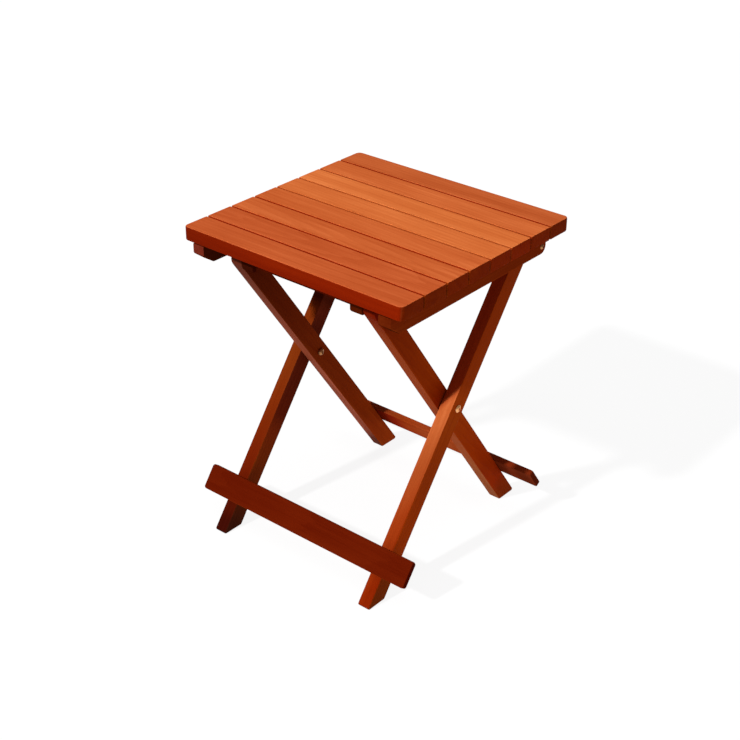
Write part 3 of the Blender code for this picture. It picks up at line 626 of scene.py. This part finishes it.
# Rails and hook cleats
# Two bearers under the slats, stained but not oiled, slanted at the front and rounded at the rear where the
# hinge bolts pass. Beside each a short block, cut to a hook for the catch bar, is screwed to a slat.
RAIL_LOG = (0.7, 0.50, -0.20)
RAIL_BODY = (0.203, 0.0225, 0.0025)
RAIL_EDGE = (0.30, 0.35, 0.40)
# End grain is darker; the right rail's end darker still, painted shade under the top's overhang, and the left's
# pink tint a painted reflection of the floor
RAIL_END_GRAIN_AND_LIGHT = {"left": (0.70, 0.88, 4.00), "right": (0.53, 0.52, 0.60)}
# Painted shade on the rails' inner faces, under the slats
RAIL_INSIDE_SHADE = (0.30, 0.38, 0.80)
CLEAT_LOG = (2.7, 0.03, -0.50)
# The cleats are far darker than the rails, the left one most: painted shade under the top
CLEAT_BODY_AND_SHADE = {"left": (0.050, 0.0048, 0.0012), "right": (0.100, 0.0090, 0.0008)}
CLEAT_END = (0.70, 0.90, 1.00)
for side, way in SIDES.items():
    inside_down = Matrix(((0, 1, 0), (0, 0, way), (way, 0, 0))).to_euler()
    rail_wood = hardwood(f"rail_wood_{side}", inside_down, sawn_from(RAIL_LOG, way), RAIL_BODY, RAIL_EDGE,
                         RAIL_END_GRAIN_AND_LIGHT[side], RAIL_INSIDE_SHADE, sheen=NO_SHEEN)
    dress(frame["nodes"][f"rail_{side}"], rail_wood)
    cleat_wood = hardwood(f"cleat_wood_{side}", (0, 0, -pi / 2), sawn_from(CLEAT_LOG, way),
                          CLEAT_BODY_AND_SHADE[side], PLAIN, CLEAT_END, sheen=NO_SHEEN)
    dress(frame["nodes"][f"hook_cleat_{side}"], cleat_wood)

# Cleat screws
# Zinc-plated wood screws, two through each cleat from below. Their countersunk heads with a cross slot
# sit flush with the wood.
UPWARDS = (0, 0, 1)
SCREW_SHANK = 0.0020
SCREW_RIM = 0.0006
SCREW_RIM_EASE = 0.0001
SCREW_TIP = 0.0002
SLOT_REACH = 0.0021
SLOT_HALF_WIDTH = 0.0005
SLOT_DEPTH = 0.0013
ALONG_ARM = 0.01                 # nearer to an arm's middle line than this, the slot has its full reach
cross_slot = []
for angle in around:
    off_arm = (angle + pi / 4) % (pi / 2) - pi / 4
    cross_slot.append(min(SLOT_REACH, SLOT_HALF_WIDTH / max(abs(sin(off_arm)), ALONG_ARM)))
for side in SIDES:
    for number in (1, 2):
        name = f"cleat_screw_{side}_{number}"
        lowest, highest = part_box(name)
        middle = (Vector(lowest) + Vector(highest)) / 2
        length = highest[2] - lowest[2]
        head = (highest[0] - lowest[0]) / 2
        neck = SCREW_RIM + head - SCREW_SHANK
        screw = [[(SLOT_DEPTH, reach) for reach in cross_slot], [(0, reach) for reach in cross_slot]]
        screw += [ring(0, head - SCREW_RIM_EASE), ring(SCREW_RIM_EASE, head), ring(SCREW_RIM, head)]
        screw += [ring(neck, SCREW_SHANK), ring(length - 2 * SCREW_SHANK, SCREW_SHANK)]
        screw.append(ring(length, SCREW_TIP))
        turned_piece(name, screw, (middle.x, middle.y, lowest[2]), UPWARDS, zinc)

# Hinge bolts
# Darker brass-plated bolts through the rear of the rails into the tops of the outer legs. A spacer keeps
# each leg off its rail, and a hexagon nut is sunk into the leg's inner face so that the inner leg can pass.
HINGE_SHANK = 0.0025
HINGE_HEAD_RISE = 0.0026
HINGE_SOCKET = 0.0030
HINGE_SOCKET_DEPTH = 0.0018
SPACER_EASE = 0.0003
HINGE_NUT_FLATS = 0.0080
HINGE_NUT_CHAMFER = 0.0005
FILED_REACH = 0.51               # how far the nut's filed corners reach, as a share of its flats
for side, way in SIDES.items():
    lowest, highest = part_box(f"hinge_bolt_{side}")
    length = highest[0] - lowest[0]
    end_x = min(abs(lowest[0]), abs(highest[0]))
    head = (highest[1] - lowest[1]) / 2
    bolt = socket_bolt(length, HINGE_SHANK, HINGE_HEAD_RISE, head, HINGE_SOCKET, HINGE_SOCKET_DEPTH)
    foot = (way * end_x, hinge.y, hinge.z)
    turned_piece(f"hinge_bolt_{side}", bolt, foot, (way, 0, 0), darker_brass)

    lowest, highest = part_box(f"hinge_spacer_{side}")
    bore = HINGE_SHANK + FIT
    spacer = collar(bore, (highest[1] - lowest[1]) / 2, highest[0] - lowest[0], SPACER_EASE)
    foot = (lowest[0], hinge.y, hinge.z)
    turned_piece(f"hinge_spacer_{side}", spacer, foot, TO_THE_RIGHT, zinc, hollow=True)

    lowest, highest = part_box(f"hinge_nut_{side}")
    thick = highest[0] - lowest[0]
    hexagon = six_sided(HINGE_NUT_FLATS)
    filed = [min(reach, HINGE_NUT_FLATS * FILED_REACH) for reach in hexagon]
    nut = [[(0, reach) for reach in filed], [(HINGE_NUT_CHAMFER, reach) for reach in hexagon],
           [(thick - HINGE_NUT_CHAMFER, reach) for reach in hexagon], [(thick, reach) for reach in filed]]
    nut += [ring(thick, HINGE_SHANK + 2 * FIT), ring(thick - FIT, bore), ring(FIT, bore)]
    nut.append(ring(0, HINGE_SHANK + 2 * FIT))
    foot = (lowest[0], hinge.y, hinge.z)
    turned_piece(f"hinge_nut_{side}", nut, foot, TO_THE_RIGHT, zinc, hollow=True)

# Floor
# A wide pale sheet under the table. It glows a little, so that the shadows on it stay light, and from below
# it lets the table's underside be seen.
FLOOR_HALF = 8.0
FLOOR_GREY = (0.12, 0.12, 0.12)
FLOOR_ROUGHNESS = 0.9
FLOOR_GLOW = 0.89
WHITE = (1, 1, 1)
scene = bpy.context.scene
sheet = bpy.data.meshes.new("studio_floor")
corners = [(-FLOOR_HALF, -FLOOR_HALF, 0), (FLOOR_HALF, -FLOOR_HALF, 0), (FLOOR_HALF, FLOOR_HALF, 0),
           (-FLOOR_HALF, FLOOR_HALF, 0)]
sheet.from_pydata(corners, [], [(0, 1, 2, 3)])
floor = bpy.data.objects.new("studio_floor", sheet)
scene.collection.objects.link(floor)
floor_paint, floor_shader = new_material("floor_paint")
feed(floor_paint, floor_shader.inputs["Base Color"], FLOOR_GREY)
feed(floor_paint, floor_shader.inputs["Roughness"], FLOOR_ROUGHNESS)
feed(floor_paint, floor_shader.inputs["Specular IOR Level"], NO_SHEEN)
feed(floor_paint, floor_shader.inputs["Emission Color"], WHITE)
feed(floor_paint, floor_shader.inputs["Emission Strength"], FLOOR_GLOW)
under_side = add_node(floor_paint, "NewGeometry").outputs["Backfacing"]
clear = add_node(floor_paint, "BsdfTransparent")
one_way = add_node(floor_paint, "MixShader", Fac=under_side)
feed(floor_paint, one_way.inputs[1], floor_shader.outputs[0])
feed(floor_paint, one_way.inputs[2], clear.outputs[0])
feed(floor_paint, floor_paint.node_tree.nodes["Material Output"].inputs[0], one_way.outputs[0])
floor.data.materials.append(floor_paint)

# Lights
# One soft key lamp high in front, a wide lamp overhead, and a dim even room around the table with plain
# white walls behind it.
ROOM_GLOW = 0.12
scene.view_settings.view_transform = "Standard"
room = bpy.data.worlds.new("studio")
room.use_nodes = True
dim_light = room.node_tree.nodes["Background"]
feed(room, dim_light.inputs["Color"], WHITE)
feed(room, dim_light.inputs["Strength"], ROOM_GLOW)
white_walls = add_node(room, "Background", Color=WHITE)
seen = add_node(room, "LightPath").outputs["Is Camera Ray"]
walls = add_node(room, "MixShader", Fac=seen)
feed(room, walls.inputs[1], dim_light.outputs[0])
feed(room, walls.inputs[2], white_walls.outputs[0])
feed(room, room.node_tree.nodes["World Output"].inputs[0], walls.outputs[0])
scene.world = room


def far_lamp(name, towards, strength, spread):
    """An even lamp far away, in the given direction from the table; its spread softens the shadows."""
    lamp = bpy.data.lights.new(name, "SUN")
    lamp.energy = strength
    lamp.angle = radians(spread)
    holder = bpy.data.objects.new(name, lamp)
    holder.rotation_euler = Vector(towards).to_track_quat("Z", "Y").to_euler()
    scene.collection.objects.link(holder)


far_lamp("key_lamp", towards=(-0.162, -0.761, 0.628), strength=3.2, spread=3)
far_lamp("overhead_lamp", towards=(0.15, -0.1, 1.0), strength=1.2, spread=60)

# Camera
# A long lens above the table's height and to the right of its front, looking down at its middle, as in the
# photograph. Its place is given by angles and a distance from the point that it looks at.
CAMERA_AZIMUTH = radians(39.668)
CAMERA_ELEVATION = radians(29.242)
CAMERA_ROLL = radians(0.460)
CAMERA_DISTANCE = 2.2514
CAMERA_AIM = Vector((-0.0076, -0.0019, 0.2578))
CAMERA_LENS = 72.12
camera = bpy.data.cameras.new("photo_view")
camera.lens = CAMERA_LENS
camera_holder = bpy.data.objects.new("photo_view", camera)
back = Vector((sin(CAMERA_AZIMUTH) * cos(CAMERA_ELEVATION), -cos(CAMERA_AZIMUTH) * cos(CAMERA_ELEVATION),
               sin(CAMERA_ELEVATION)))
level = Vector((cos(CAMERA_AZIMUTH), sin(CAMERA_AZIMUTH), 0))
upright = back.cross(level)
right = cos(CAMERA_ROLL) * level + sin(CAMERA_ROLL) * upright
up = back.cross(right)
stand = CAMERA_AIM + back * CAMERA_DISTANCE
camera_holder.matrix_world = Matrix(((right.x, up.x, back.x, stand.x), (right.y, up.y, back.y, stand.y),
                                     (right.z, up.z, back.z, stand.z), (0, 0, 0, 1)))
scene.collection.objects.link(camera_holder)
scene.camera = camera_holder
